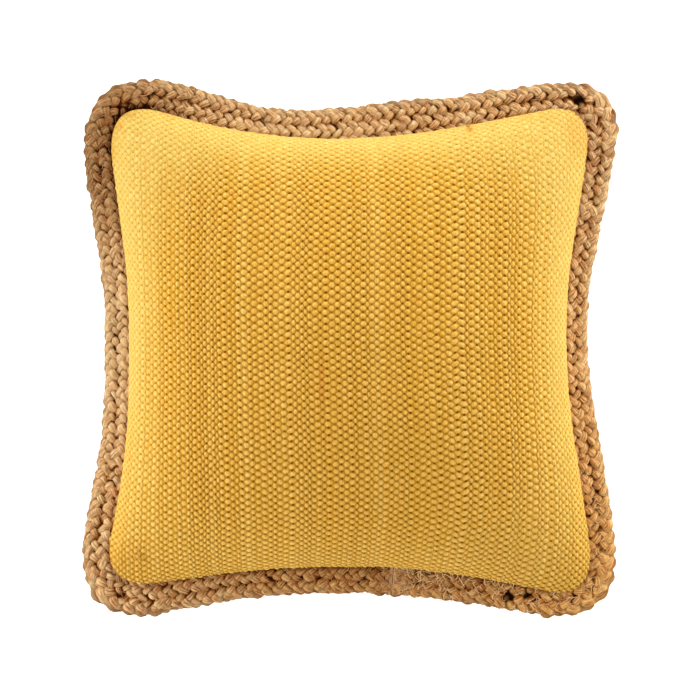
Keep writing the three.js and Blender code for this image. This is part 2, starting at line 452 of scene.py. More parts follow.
def near_spot(x, y, px, py, radius, tall=None):
    """1 at a place of the picture, falling smoothly to 0 about radius pixels away."""
    cx, cy = seen(px, py)
    tall = radius if tall is None else tall
    return np.exp(-(((x - cx) / (radius * PIXEL)) ** 2 + ((y - cy) / (tall * PIXEL)) ** 2))


def woven_panel(name, grid, seed, face_up):
    per_across = PER_BEAD_ACROSS if face_up else 2
    edges, widths = shares(COLUMNS, ACROSS, 0.24, seed)
    row_edges, row_widths = shares(ROWS, ALONG, 0.015, seed + 1)
    c = np.arange(COLUMNS * per_across + 1) / per_across
    r = np.arange(ROWS * PER_BEAD_ALONG + 1) / PER_BEAD_ALONG
    a = np.interp(c, np.arange(COLUMNS + 1), edges)
    b = np.interp(r, np.arange(ROWS + 1), row_edges)
    wa, wb = interpolation(N, a), interpolation(N, b)
    base = np.tensordot(np.tensordot(wa, grid, (1, 0)), wb, (1, 1)).transpose(0, 2, 1)
    da = np.gradient(base, axis=0)
    db = np.gradient(base, axis=1)
    normal = np.cross(da, db)
    normal /= np.linalg.norm(normal, axis=2, keepdims=True) + 1e-12
    if not face_up:
        normal = -normal

    g = np.random.default_rng(seed + 2)
    C, R = np.meshgrid(c, r, indexing="ij")
    column = np.minimum(C.astype(int), COLUMNS - 1)
    tall = np.clip(1 + 0.13 * g.normal(0, 1, COLUMNS), 0.65, 1.3)
    # a few thin places in the yarn: flatter, narrower-looking columns
    for weak in g.choice(COLUMNS, 5, replace=False):
        tall[weak] *= 0.6
    p = C - column - 0.5
    q = (R + 0.5 * (column % 2)) % 1.0 - 0.5
    bead = np.floor(R + 0.5 * (column % 2)).astype(int)
    each = np.clip(1 + 0.10 * g.normal(0, 1, (COLUMNS, ROWS + 2)), 0.7, 1.25)
    high = np.clip(bead_height(p, q) * tall[column] * each[column, np.clip(bead, 0, ROWS + 1)], 0, 1.3)
    # the cloth is pulled taut and its beads lie flatter near the seam, least so on the near side; the material uses the
    # same measure for a painted sheen and weaker painted shade there
    room = rise(base[..., 0], base[..., 1])
    taut_and_edge_lit = np.clip((0.66 - room) / 0.46, 0, 1)
    taut_and_edge_lit = taut_and_edge_lit * taut_and_edge_lit * (3 - 2 * taut_and_edge_lit) * np.clip(0.95 + base[..., 1] / 260, 0.05, 1)
    shape = base + normal * (BEAD * (1 - 0.7 * taut_and_edge_lit) * (high - 0.45))[..., None]
    # slow unevenness of a hand-filled cushion
    lumps = waves(base[..., 0], base[..., 1], seed + 3, 160, 45)
    if face_up:
        shape[..., 2] += 1.3 * lumps * room
    else:
        shape[..., 2] = np.where(base[..., 2] > 1.5, shape[..., 2] + 1.1 * lumps * room * np.clip(base[..., 2] / 12, 0, 1), shape[..., 2])
        shape[..., 2] = np.maximum(shape[..., 2], 0.05 + 0.55 * BEAD * np.clip(1 - high, 0, 1))

    # the cloth ends at the seam: what would lie outside it is turned in
    verts = shape.reshape(-1, 3)
    flat = base.reshape(-1, 3)[:, :2]
    poly = seam_line[::2]
    outside = ~inside(flat, poly)
    place, far = nearest_on(flat[outside], poly)
    out_at = np.nonzero(outside)[0]
    lip = 1.0 if face_up else 0.8          # the two panels meet here, sewn edge on sewn edge
    border = np.zeros(C.shape, bool)
    border[[0, -1], :] = True
    border[:, [0, -1]] = True
    border = border.ravel() & ~outside
    verts[out_at, :2] = place
    hz = seam_height(np.repeat(a, len(b)), np.tile(b, len(a)))
    verts[out_at, 2] = hz[out_at] + lip
    verts[border, :2] = flat[border]
    verts[border, 2] = hz[border] + lip
    quads = grid_quads(len(c) - 1, len(r) - 1, flip=not face_up)
    quads = quads[~outside[quads].all(1)]
    x, y = flat[:, 0], flat[:, 1]
    warm = np.zeros(len(x))
    shade = np.zeros(len(x))
    if face_up:
        # a reddish stretch of one yarn, small rusty specks, and a rustier far right corner
        for px, py, radius, tall_, much in ((323, 382, 2.6, 24, 0.9), (120.5, 126, 3.0, 3.0, 0.8), (457.5, 355, 2.6, 2.6, 0.8), (467.5, 131.5, 3.2, 3.2, 0.9), (576, 132, 13, 22, 0.45), (548, 120, 10, 7, 0.3)):
            warm = np.maximum(warm, much * near_spot(x, y, px, py, radius, tall_))
        # painted shade round the near left corner and by the seam at the far left corner
        for px, py, radius, tall_, much in ((128, 562, 26, 22, 0.55), (140, 558, 5, 6, 0.5), (112, 122, 7, 12, 0.7), (124, 113, 12, 5, 0.6), (112, 150, 5, 16, 0.4)):
            shade = np.maximum(shade, much * near_spot(x, y, px, py, radius, tall_))
    attributes = {"col": C.ravel(), "row": R.ravel(), "taut_and_edge_lit": taut_and_edge_lit.ravel(), "warm": warm, "shade": shade}
    verts, quads, attributes = drop(verts, quads, attributes)
    return make_mesh(name, (verts + [*SHIFT, 0]) * MM, quads, attributes=attributes)


front_cloth = woven_panel("cover_front", front, 11, True)
back_cloth = woven_panel("cover_back", back, 47, False)


# ---------------------------------------------------------------------------
# The plaited border
# ---------------------------------------------------------------------------
STRANDS = 7
ROW_APART = 5.7       # between two rows of crossings, across the plait
EDGE_OUT = 1.6         # how far past the outermost row a strand turns round
# how far apart the grains of one row are, by the place along the plait from the far left corner, clockwise
GRAIN_APART = [(0, 9.6), (60, 9.75), (150, 10.25), (240, 9.5), (330, 10.25), (420, 10.25), (510, 9.75), (600, 10.25), (690, 10.75), (780, 10.25), (870, 10.75), (960, 10.25), (1050, 10.4), (1140, 9.6), (1230, 9.75), (1320, 9.6), (1410, 10.6), (1500, 9.75), (1590, 10.25), (1680, 9.75), (1770, 9.4), (1830, 9.6)]

# a strand where it turns at an edge, lies over another and lies under another
AT_TURN, AT_OVER, AT_UNDER = 0, 1, -1
WIDE = {AT_TURN: 6.5, AT_OVER: 7.4, AT_UNDER: 14.5}
THICK = {AT_TURN: 4.4, AT_OVER: 6.2, AT_UNDER: 3.0}
LIFT = {AT_TURN: 0.2, AT_OVER: 2.4, AT_UNDER: -2.0}
TAPER = 2.4            # how much narrower it is where it dives, so each stretch that shows is leaf-shaped
LEAN = 0.55            # how much slower it comes up than it dives, so a grain is thin behind and blunt ahead
SUNK = 2.8             # how far the plait's middle lies below the seam
# how fast it runs along the plait there, against the mean: it lies long on top and dives steeply
PACE = {AT_TURN: 1.6, AT_OVER: 1.7, AT_UNDER: 0.35}
PLAIT_WIDE = (STRANDS - 2) * ROW_APART + 2 * EDGE_OUT + WIDE[AT_TURN] * 0.95

# how wide the plait is spread, against the mean, by direction in degrees from the middle
SPREAD = [(-180, 0.95), (-150, 0.98), (-135, 1.04), (-110, 1.02), (-90, 0.99), (-60, 1.0), (-45, 1.03), (-25, 1.0), (0, 0.95), (25, 0.97), (45, 1.04), (65, 1.08), (85, 1.12), (100, 1.06), (125, 1.02), (145, 1.0), (165, 0.96), (180, 0.95)]

# how far the border's outer edge hangs below its plane, by side, in degrees
TILT = [4.0, 20.0, 11.0, 18.0]

# how far the inner rows sink behind the cover's edge, 0 to 1, by the place along the plait
RECESS = [(0, 0.45), (22, 0.8), (40, 1.0), (70, 1.0), (88, 0.3), (102, 0.0), (1810, 0.0), (1830, 0.42)]


def smooth_closed(values, reach_):
    """A running mean on a closed line, so that what it does has no corners."""
    k = int(reach_)
    kernel = np.hanning(2 * k + 1)
    kernel /= kernel.sum()
    pad = np.concatenate([values[-k:], values, values[:k]])
    return np.convolve(pad, kernel, "valid")


def border_frame():
    """Points along the plait's middle, square to them the way out, and the seam's height and tilt there."""
    p = edge_line
    ahead, behind = np.roll(p, -6, 0), np.roll(p, 6, 0)
    t = ahead - behind
    t /= np.linalg.norm(t, axis=1, keepdims=True)
    out = np.column_stack([-t[:, 1], t[:, 0]])
    out = np.column_stack([smooth_closed(out[:, k], 24) for k in range(2)])
    out /= np.linalg.norm(out, axis=1, keepdims=True)
    # which side each point belongs to, for its tilt
    angle = np.degrees(np.arctan2(p[:, 1], p[:, 0]))
    weight = np.array([np.clip(1 - np.abs((angle - mid + 180) % 360 - 180) / 42, 0, 1) for mid in (90, 0, -90, 180)])
    tilt = (weight * np.array(TILT)[:, None]).sum(0) / np.maximum(weight.sum(0), 0.6)
    tilt = smooth_closed(tilt, 40)
    # the seam's height by direction from the middle
    half = np.abs(p).max(0)
    a, b = (p[:, 0] / half[0] + 1) / 2, (p[:, 1] / half[1] + 1) / 2
    height = smooth_closed(seam_height(np.clip(a, 0, 1), np.clip(b, 0, 1)), 30)
    spread = smooth_closed(np.interp(angle, [v[0] for v in SPREAD], [v[1] for v in SPREAD]), 20)
    return p, out, np.radians(tilt), height, spread


edge_p, edge_out, edge_tilt, edge_z, edge_spread = border_frame()
middle_p = edge_p - edge_out * (PLAIT_WIDE / 2) * np.cos(edge_tilt)[:, None]
middle_s = closed_lengths(middle_p)
PLAIT_LONG = middle_s[-1]


def border_at(s, w, h):
    """The place s along the plait's middle, w outwards from the middle, h above its plane, all in mm."""
    s = np.mod(s, PLAIT_LONG)

    def read(values):
        return np.interp(s, middle_s, np.append(values, values[0]))

    mx, my = read(middle_p[:, 0]), read(middle_p[:, 1])
    ox, oy = read(edge_out[:, 0]), read(edge_out[:, 1])
    norm = np.hypot(ox, oy)
    ox, oy = ox / norm, oy / norm
    tilt, z = read(edge_tilt), read(edge_z)
    w = PLAIT_WIDE / 2 - (PLAIT_WIDE / 2 - w) * read(edge_spread)
    # tilted about the seam: the outer edge hangs, the inner edge stays at the seam
    inner = w + PLAIT_WIDE / 2
    x = mx + ox * (w * np.cos(tilt) + h * np.sin(tilt))
    y = my + oy * (w * np.cos(tilt) + h * np.sin(tilt))
    zz = z - SUNK - inner * np.sin(tilt) + h * np.cos(tilt)
    return np.stack([x, y, zz], -1)


def through(values, slopes, x, gain=0.0):
    """A smooth curve through evenly spaced values with the given slopes, which comes round again with gain added; x is counted in values."""
    v, m = np.asarray(values, float), np.asarray(slopes, float)
    n = len(v)
    i = np.floor(x).astype(int)
    t = x - i
    j = i + 1
    v0, v1 = v[i % n] + gain * (i // n), v[j % n] + gain * (j // n)
    return (2 * t**3 - 3 * t**2 + 1) * v0 + (t**3 - 2 * t**2 + t) * m[i % n] + (3 * t**2 - 2 * t**3) * v1 + (t**3 - t**2) * m[j % n]


half_rows = (STRANDS - 2) / 2
LATERAL = [-half_rows * ROW_APART - EDGE_OUT] + [(q - STRANDS / 2) * ROW_APART for q in range(1, STRANDS)]
LATERAL += [half_rows * ROW_APART + EDGE_OUT] + [(STRANDS / 2 - q) * ROW_APART for q in range(1, STRANDS)]
LATERAL_SLOPE = [0.0] + [ROW_APART] * (STRANDS - 1) + [0.0] + [-ROW_APART] * (STRANDS - 1)
OVER = [AT_TURN] + [AT_OVER if q % 2 else AT_UNDER for q in range(1, STRANDS)]
OVER += [AT_TURN] + [AT_OVER if (STRANDS - q) % 2 == 0 else AT_UNDER for q in range(1, STRANDS)]
FLAT = [0.0] * len(OVER)

# the plait's own count of crossings, from the far left corner on; a whole number of turns goes round, so the strands meet at the join
spool_s = np.linspace(0, 2 * PLAIT_LONG, 1600)
grain_apart = np.interp(spool_s % PLAIT_LONG, [r[0] for r in GRAIN_APART], [r[1] for r in GRAIN_APART])
spool_u = np.concatenate([[0], np.cumsum(np.diff(spool_s) * 2 / (0.5 * (grain_apart[1:] + grain_apart[:-1])))])
once_round = np.interp(PLAIT_LONG, spool_s, spool_u)
HALF_TURNS = round(once_round / STRANDS)
spool_u *= HALF_TURNS * STRANDS / once_round


def uneven(seed, x, amount):
    """Something different at each crossing, and smooth between them."""
    v = np.random.default_rng(seed).normal(0, amount, int(HALF_TURNS * STRANDS * 1.05) + 60)
    i = np.floor(x).astype(int)
    t = x - i
    t = t * t * (3 - 2 * t)
    return np.clip(v[(i + 12) % len(v)] * (1 - t) + v[(i + 13) % len(v)] * t, -2.2 * amount, 2.2 * amount)


# places along the plait that show something of their own: pixel x and y of the picture, radius, how much; the strands
# dip at the holes, which are painted near black as painted shade
HOLES = [(580, 99, 6.0, 1.0), (510.5, 597, 4.4, 1.0), (527, 596.5, 4.0, 1.0)]
DARK_SPOTS = [(597, 105, 2.2, 0.7), (562, 108, 3.0, 0.35), (118, 572, 6, 0.5), (398, 101, 7, 0.35), (146, 577, 4, 0.5)]
WARM_SPOTS = [(363, 128, 11, 0.9), (228, 106, 6, 0.9), (107, 275, 4.5, 1.0), (110.5, 315, 5, 1.0), (100, 260, 5, 0.7), (612, 555, 12, 0.8), (590, 530, 7, 0.6), (91, 570, 6, 0.7), (104, 590, 6, 0.8), (586, 88, 9, 0.6), (578, 104, 5, 0.3), (425, 592, 9, 0.8), (457, 600, 7, 0.7), (104, 560, 5, 0.5), (395, 90, 6, 0.4)]
PALE_SPOTS = [(155, 103, 10, 0.7), (114, 262, 9, 0.6), (118, 300, 12, 0.5), (231, 119, 9, 0.6), (106, 540, 9, 0.6), (100, 555, 8, 0.5), (588, 545, 6, 0.7), (594, 512, 5, 0.6), (611, 95, 8, 0.5), (615, 130, 10, 0.4), (150, 605, 12, 0.4), (396, 580, 6, 0.5)]


def spots(table, x, y):
    out = np.zeros(np.shape(x))
    for px, py, radius, much in table:
        out = np.maximum(out, much * near_spot(x, y, px, py, radius))
    return out


# broad stretches where the plait differs: the middle of the stretch, its reach, how much lighter the inner and the
# outer rows are (painted light and shade), how much greyer (or redder, below 0)
STRETCHES = [
    (15, 88, -0.82, -0.56, -0.05),       # shaded round the far left corner
    (230, 100, 0.35, 0.0, 0.1),       # painted light on the inner rows of the far side
    (820, 170, 0.15, 0.12, -0.3),     # redder down the right side
    (950, 70, 0.05, 0.10, -0.40),     # bright loops round the near right corner
    (1130, 170, -0.46, -0.24, -0.42),   # painted shade and a redder tone along the near side
    (1620, 110, 0.18, 0.0, 0.35),      # paler and greyer down the left side
]


def stretch_of(s, w):
    """How much lighter (painted light and shade) and how much greyer the plait is at places along and across it."""
    share = np.clip((w + 2.5) / 9.0, 0, 1)
    lighter, greyer = np.zeros(np.shape(s)), np.zeros(np.shape(s))
    for middle, reach_, inner, outer, grey in STRETCHES:
        away = np.mod(s - middle + PLAIT_LONG / 2, PLAIT_LONG) - PLAIT_LONG / 2
        near_ = np.exp(-(away / reach_) ** 2)
        lighter += near_ * (inner * (1 - share) + outer * share)
        greyer += near_ * grey
    return lighter, greyer


def recess(s):
    return np.interp(np.mod(s, PLAIT_LONG), [r[0] for r in RECESS], [r[1] for r in RECESS])


SIDES = 16
RING_APART = 1.32


strand_fibres = []


def fibres_on(seed, many, centre, side, up, wide, thick, shows):
    """Paths of loose fibres that lie along a strand, on the stretches of it that show."""
    g = np.random.default_rng(seed)
    n = len(centre)
    at = g.uniform(2, n - 10, many * 4)
    at = at[np.interp(at + 3, np.arange(n), shows) > 0.25][:many]
    many = len(at)
    long_, turn = g.uniform(3.0, 6.5, many), g.uniform(0.2, np.pi - 0.2, many)
    drift, lift = g.normal(0, 0.6, many), g.uniform(0.05, 0.4, many)
    u = np.linspace(0, 1, 6)[None, :]
    i = at[:, None] + long_[:, None] * u
    a = turn[:, None] + drift[:, None] * (u - 0.5)
    off = lift[:, None] * np.sin(np.pi * u)

    def read(v):
        if v.ndim == 1:
            return np.interp(i, np.arange(n), v)
        return np.stack([np.interp(i, np.arange(n), v[:, c]) for c in range(3)], -1)

    return read(centre) + read(side) * ((read(wide) + off) * np.cos(a))[..., None] + read(up) * ((read(thick) + off) * np.sin(a))[..., None]


def strand(k, join_s):
    """One jute strand all the way round, from the join back to the join."""
    fine = np.arange(-2.0, HALF_TURNS * STRANDS + 2.0, 0.02)          # in crossings
    first = 2 * k
    join_u = np.interp(join_s, spool_s, spool_u)

    def place(x):
        y = x + first
        # the part of a crossing it has come to, late where it rises and early where it dives
        way = np.clip(2.5 * np.sin(np.pi * y / STRANDS), -1, 1)
        late = y + LEAN / np.pi * way * np.cos(np.pi * y)
        over = through(OVER, FLAT, late)
        u = through(range(len(OVER)), [PACE[o] for o in OVER], y, len(OVER)) - first
        s = np.interp(join_u + u, spool_u, spool_s) - join_s + uneven(300 + k, y, 0.9)
        lateral = through(LATERAL, LATERAL_SLOPE, y)
        lateral = lateral + uneven(400 + k, y, 0.75) * np.clip(1.15 - (lateral / 17.0) ** 4, 0.35, 1)
        h = through([LIFT[o] for o in OVER], FLAT, late) + uneven(500 + k, y, 0.5)
        sunk = recess(join_s + s) * np.clip((5.0 - lateral) / 9.0, 0, 1)
        flat = border_at(join_s + s, lateral, h)
        hole = spots(HOLES, flat[:, 0], flat[:, 1])
        return s, lateral, h - 2.4 * sunk - 4.5 * hole, over, late, sunk

    s, lateral, h, over, late, sunk = place(fine)
    keep = (s > 0.3) & (s < PLAIT_LONG - 0.3)
    fine = fine[keep]
    s, lateral, h, over, late, sunk = place(fine)
    dense = border_at(join_s + s, lateral, h)
    run = np.concatenate([[0], np.cumsum(np.linalg.norm(np.diff(dense, axis=0), axis=1))])
    count = int(run[-1] / RING_APART)
    x = np.interp(np.linspace(0, run[-1], count), run, fine)
    y = x + first
    s, lateral, h, over, late, sunk = place(x)
    centre = border_at(join_s + s, lateral, h)
    up0 = border_at(join_s + s, lateral, h + 1.0) - centre
    t = np.gradient(centre, axis=0)
    t /= np.linalg.norm(t, axis=1, keepdims=True)
    side = np.cross(up0, t)
    side /= np.linalg.norm(side, axis=1, keepdims=True)
    up = np.cross(t, side)
    length = np.concatenate([[0], np.cumsum(np.linalg.norm(np.diff(centre, axis=0), axis=1))])
    # round a corner the outer rows are stretched apart, and the strands flatten out to fill
    ahead = border_at(join_s + s + 4, lateral, h) - border_at(join_s + s - 4, lateral, h)
    stretch = np.clip(np.linalg.norm(ahead, axis=1) / 8, 0.9, 1.5)
    inside_rows = np.clip((half_rows * ROW_APART + 1.5 - np.abs(lateral)) / 1.5, 0, 1)
    wide = (through([WIDE[o] / 2 for o in OVER], FLAT, late) - TAPER / 2 * np.sin(np.pi * late) ** 2 * inside_rows) * stretch**0.7 * (1 + uneven(600 + k, y, 0.14))
    thick = through([THICK[o] / 2 for o in OVER], FLAT, late) * (1 + uneven(700 + k, y, 0.14))
    strand_fibres.append(fibres_on(700 + k, 270, centre, side, up, wide, thick, np.maximum(over, (1 - inside_rows) * 0.8)))
    ang = 2 * np.pi * np.arange(SIDES) / SIDES
    ca, sa = np.cos(ang), np.sin(ang)
    # the yarns inside the strand show as low ridges that wander round it
    ridge = (0.085 * np.cos(5 * ang[None, :] - length[:, None] / 9 + k)
             + 0.060 * np.cos(7 * ang[None, :] + length[:, None] / 7 + 2 * k)
             + 0.025 * np.cos(3 * ang[None, :] - length[:, None] / 11 + 3 * k))
    rad = 1 + ridge
    ring = (centre[:, None, :]
            + side[:, None, :] * (wide[:, None] * ca * rad)[..., None]
            + up[:, None, :] * (thick[:, None] * sa * rad)[..., None])
    verts = ring.reshape(-1, 3)
    i, j = np.meshgrid(np.arange(count - 1), np.arange(SIDES), indexing="ij")
    a = i * SIDES + j
    b = i * SIDES + (j + 1) % SIDES
    quads = np.stack([a, b, b + SIDES, a + SIDES], -1).reshape(-1, 4)
    caps = []
    for at, order in ((0, 1), ((count - 1) * SIDES, -1)):
        for q in range(0, SIDES // 2 - 1):
            f = [at + q, at + (SIDES - 1 - q), at + (SIDES - 2 - q), at + q + 1]
            caps.append(f if order == 1 else f[::-1])
    quads = np.vstack([quads, np.array(caps)])
    flat_x, flat_y = np.repeat(centre[:, 0], SIDES), np.repeat(centre[:, 1], SIDES)
    # how near each point is to the cover's edge, where painted shade darkens the plait
    _, seam_far = nearest_on(verts[:, :2], seam_line[::8])
    seam_shade = np.exp(-(seam_far / 2.6) ** 2)
    lighter, greyer = stretch_of(join_s + s, lateral)
    attributes = {
        "along": np.repeat(length, SIDES) + 37.0 * k,
        "around": np.tile(ca, count),
        "around2": np.tile(sa, count),
        "deep": np.clip((4.7 - (h[:, None] + thick[:, None] * sa).ravel()) / 3.4, 0, 1),
        "who": np.full(count * SIDES, float(k)),
        "crossing": np.repeat(y, SIDES),
        "dark": np.maximum(spots(DARK_SPOTS, flat_x, flat_y), np.clip(2.2 * spots(HOLES, verts[:, 0], verts[:, 1]) - 0.4, 0, 1)),
        "sunk": np.repeat(sunk, SIDES),
        "head": np.repeat(np.clip(over, 0, 1) * np.clip(2.4 * (late - np.round(late)), -1, 1), SIDES),
        "warm": spots(WARM_SPOTS, flat_x, flat_y),
        "pale": spots(PALE_SPOTS, flat_x, flat_y),
        "seam_shade": seam_shade,
        "bright": np.repeat(lighter, SIDES),
        "grey": np.repeat(greyer, SIDES),
        "rim": np.repeat(1 - inside_rows, SIDES),
    }
    return make_mesh("jute_strand_%d" % (k + 1), (verts + [*SHIFT, 0]) * MM, quads, attributes=attributes)


# the join: the place on the near side at JOIN_X
near = np.where((middle_p[:, 1] < 0), np.abs(middle_p[:, 0] - JOIN_X), 1e9).argmin()
JOIN_S = middle_s[near]
strands = [strand(k, JOIN_S) for k in range(STRANDS)]


def tubes(name, paths, radii, sides=3, tips=0.35, attributes=None):
    """One mesh of thin tubes: paths is (how many, points, 3) in mm, radii their thickness."""
    paths = np.asarray(paths, float)
    many, points, _ = paths.shape
    t = np.gradient(paths, axis=1)
    t /= np.linalg.norm(t, axis=2, keepdims=True) + 1e-9
    aside = np.cross(t, [0.13, 0.21, 0.97])
    aside /= np.linalg.norm(aside, axis=2, keepdims=True) + 1e-9
    up = np.cross(aside, t)
    taper = np.interp(np.linspace(0, 1, points), [0, 0.15, 0.6, 1], [0.8, 1, 0.9, tips])
    r = np.asarray(radii, float)[:, None] * taper[None, :]
    ang = 2 * np.pi * np.arange(sides) / sides
    ring = (paths[:, :, None, :] + (r[..., None] * np.cos(ang))[..., None] * aside[:, :, None, :]
            + (r[..., None] * np.sin(ang))[..., None] * up[:, :, None, :])
    verts = ring.reshape(-1, 3)
    m, i, j = np.meshgrid(np.arange(many), np.arange(points - 1), np.arange(sides), indexing="ij")
    at = m * points * sides + i * sides
    a, b = at + j, at + (j + 1) % sides
    tris = np.concatenate([np.stack([a, b, b + sides], -1).reshape(-1, 3), np.stack([a, b + sides, a + sides], -1).reshape(-1, 3)])
    start = np.arange(many) * points * sides
    end = start + (points - 1) * sides
    lids = []
    for q in range(1, sides - 1):
        lids.append(np.stack([start, start + q + 1, start + q], -1))
        lids.append(np.stack([end, end + q, end + q + 1], -1))
    tris = np.vstack([tris] + lids)
    extra = {k: np.repeat(v, points * sides) for k, v in (attributes or {}).items()}
    return make_mesh(name, (verts + [*SHIFT, 0]) * MM, tris, attributes=extra)


def plait_hairs(seed, count, s_range, w_range, long_range, lift_range, bend, lean, start=(2.6, 3.6), points=6):
    """Paths of loose fibres that leave the plait's surface: lean is how far from along the plait they point, in radians."""
    g = np.random.default_rng(seed)
    s0 = g.uniform(*s_range, count)
    w0 = g.uniform(*w_range, count)
    h0 = g.uniform(*start, count)
    long_ = g.uniform(*long_range, count)
    turn = g.normal(0, lean, count) + np.where(g.random(count) < 0.5, np.pi, 0)
    curl = g.normal(0, bend, count)
    lift = g.uniform(*lift_range, count)
    u = np.linspace(0, 1, points)[None, :]
    heading = turn[:, None] + curl[:, None] * u
    step = long_[:, None] / (points - 1)
    ds = np.cumsum(np.cos(heading) * step, 1)
    dw = np.cumsum(np.sin(heading) * step, 1)
    s = s0[:, None] + ds - ds[:, :1]
    w = w0[:, None] + dw - dw[:, :1]
    h = h0[:, None] + lift[:, None] * np.sin(np.pi * np.minimum(1, u * g.uniform(0.6, 1.0, count)[:, None]))
    # past the outer edge a fibre hangs back towards the plait's plane
    over_edge = np.clip(w - PLAIT_WIDE / 2 + 1.5, 0, 6)
    h = h - over_edge * 1.0 - 2.4 * recess(s) * np.clip((5.0 - w) / 9.0, 0, 1)
    return border_at(s, w, h), g


half_plait = PLAIT_WIDE / 2
hair_sets = []
hair_radii = []
hair_tones = []


def add_hairs(seed, count, radius, tone, **shape):
    paths, g = plait_hairs(seed, count, **shape)
    hair_sets.append(paths)
    hair_radii.append(g.uniform(*radius, count))
    hair_tones.append(g.uniform(*tone, count))


# all over the plait's top, along its outer edge, and underneath
add_hairs(81, 1150, (0.12, 0.26), (0.0, 1.0), s_range=(0, PLAIT_LONG), w_range=(-half_plait + 3, half_plait - 1.5), long_range=(4, 13), lift_range=(0.4, 1.8), bend=1.3, lean=0.9)
add_hairs(83, 140, (0.07, 0.12), (0.2, 1.0), s_range=(0, PLAIT_LONG), w_range=(-half_plait + 3, half_plait - 1.5), long_range=(4, 12), lift_range=(-1.8, -0.5), bend=1.3, lean=0.9, start=(-3.4, -2.6))
# thicker pale ones from the join to the near right corner
add_hairs(84, 230, (0.26, 0.40), (1.0, 1.0), s_range=(JOIN_S - 165, JOIN_S - 8), w_range=(-half_plait + 4, half_plait - 2), long_range=(5, 13), lift_range=(1.4, 3.0), bend=2.2, lean=1.2)
add_hairs(85, 90, (0.24, 0.36), (0.97, 1.0), s_range=(JOIN_S - 300, JOIN_S - 165), w_range=(-half_plait + 4, half_plait - 2), long_range=(5, 12), lift_range=(0.8, 2.0), bend=1.8, lean=1.2)
# the frayed ends beside the join
add_hairs(86, 240, (0.20, 0.42), (0.0, 1.0), s_range=(JOIN_S - 17, JOIN_S - 5), w_range=(-half_plait + 3, half_plait - 3), long_range=(4, 9), lift_range=(0.5, 1.3), bend=0.9, lean=0.6, start=(3.4, 4.4))
add_hairs(87, 70, (0.18, 0.32), (0.1, 0.9), s_range=(JOIN_S + 3, JOIN_S + 9), w_range=(-half_plait + 3, half_plait - 3), long_range=(4, 8), lift_range=(0.4, 1.2), bend=0.9, lean=0.6, start=(3.2, 4.2))
lying = np.concatenate(strand_fibres)
g = np.random.default_rng(89)
hair_sets.append(lying)
hair_radii.append(g.uniform(0.10, 0.24, len(lying)))
hair_tones.append(g.uniform(0, 1, len(lying)))
edge_paths, g = plait_hairs(82, 2800, s_range=(0, PLAIT_LONG), w_range=(half_plait - 2.2, half_plait + 0.2), long_range=(3, 7), lift_range=(0.1, 0.9), bend=1.3, lean=0.55, start=(-1.0, 2.4), points=4)
fuzz = tubes("jute_fuzz", edge_paths, g.uniform(0.09, 0.17, len(edge_paths)), attributes={"tone": g.uniform(0.8, 1.0, len(edge_paths))})
hair_paths, hair_r, hair_tone = (np.concatenate(v) for v in (hair_sets, hair_radii, hair_tones))
# none lies over a hole
clear = spots(HOLES, hair_paths[..., 0], hair_paths[..., 1]).max(1) < 0.3
# nor a pale one in the shade behind the far left corner
clear &= (hair_tone < 0.45) | (spots([(120, 112, 26, 1.0)], hair_paths[..., 0], hair_paths[..., 1]).max(1) < 0.4)
hairs = tubes("jute_fibres", hair_paths[clear], hair_r[clear], attributes={"tone": hair_tone[clear]})


def whipping(turns, per_turn, first, last, seed):
    """Thin thread wound round the plait to hold its two ends: one long tube, as rows of points."""
    g = np.random.default_rng(seed)
    u = np.linspace(0, turns, turns * per_turn + 1)
    a = 2 * np.pi * u
    slack = np.interp(u, np.arange(turns + 1), g.normal(0, 0.22, turns + 1))
    s = JOIN_S + first + (last - first) * u / turns + slack + 0.7 * np.sin(a + 0.6)
    c, n = np.cos(a), np.sin(a)
    w = np.sign(c) * np.abs(c) ** 0.75 * (half_plait - 0.1)
    h = np.sign(n) * np.abs(n) ** 0.55 * (4.9 + np.interp(u * 4, np.arange(4 * turns + 1), g.normal(0, 0.18, 4 * turns + 1)))
    return border_at(s, w, h)


whip_a = whipping(6, 44, -5.2, 1.4, 91)
whip_b = whipping(2, 44, 0.4, -4.2, 92)
whip = tubes("jute_whipping_1", whip_a[None], [0.31], sides=6, tips=0.8)
whip2 = tubes("jute_whipping_2", whip_b[None], [0.24], sides=6, tips=0.8)
whip3 = tubes("jute_whipping_3", whipping(2, 44, -2.3, -3.0, 93)[None], [0.34], sides=6, tips=0.8)


def loose_yarn(name, rows, radius):
    """A short end of yarn that stands off the face: rows of picture x, picture y and height above the cloth in mm."""
    pts = []
    for px, py, up in rows:
        x, y = seen(px, py)
        z = SEAM_HEIGHT + CROWN * float(rise(np.array([x]), np.array([y]))[0])
        pts.append((x, y, z + up))
    pts = np.array(pts)
    at = np.arange(len(pts))
    fine = np.linspace(0, len(pts) - 1, 26)
    path = np.column_stack([np.interp(fine, at, pts[:, k]) for k in range(3)])
    for _ in range(3):
        path[1:-1] = (path[:-2] + 2 * path[1:-1] + path[2:]) / 4
    return tubes(name, path[None], [radius], sides=8, tips=0.7)


pucker = loose_yarn("cotton_loop", [(134, 548, -0.5), (137, 553, 1.2), (139.5, 559.5, 1.0), (142, 555.5, 1.6), (144.5, 560.5, -0.5)], 0.75)
nub = loose_yarn("cotton_nub", [(465.5, 127.5, 0.0), (467.5, 126.6, 2.4), (469.8, 127.6, 2.6), (469.4, 129.8, 2.0), (468.2, 132.0, 0.2)], 0.85)


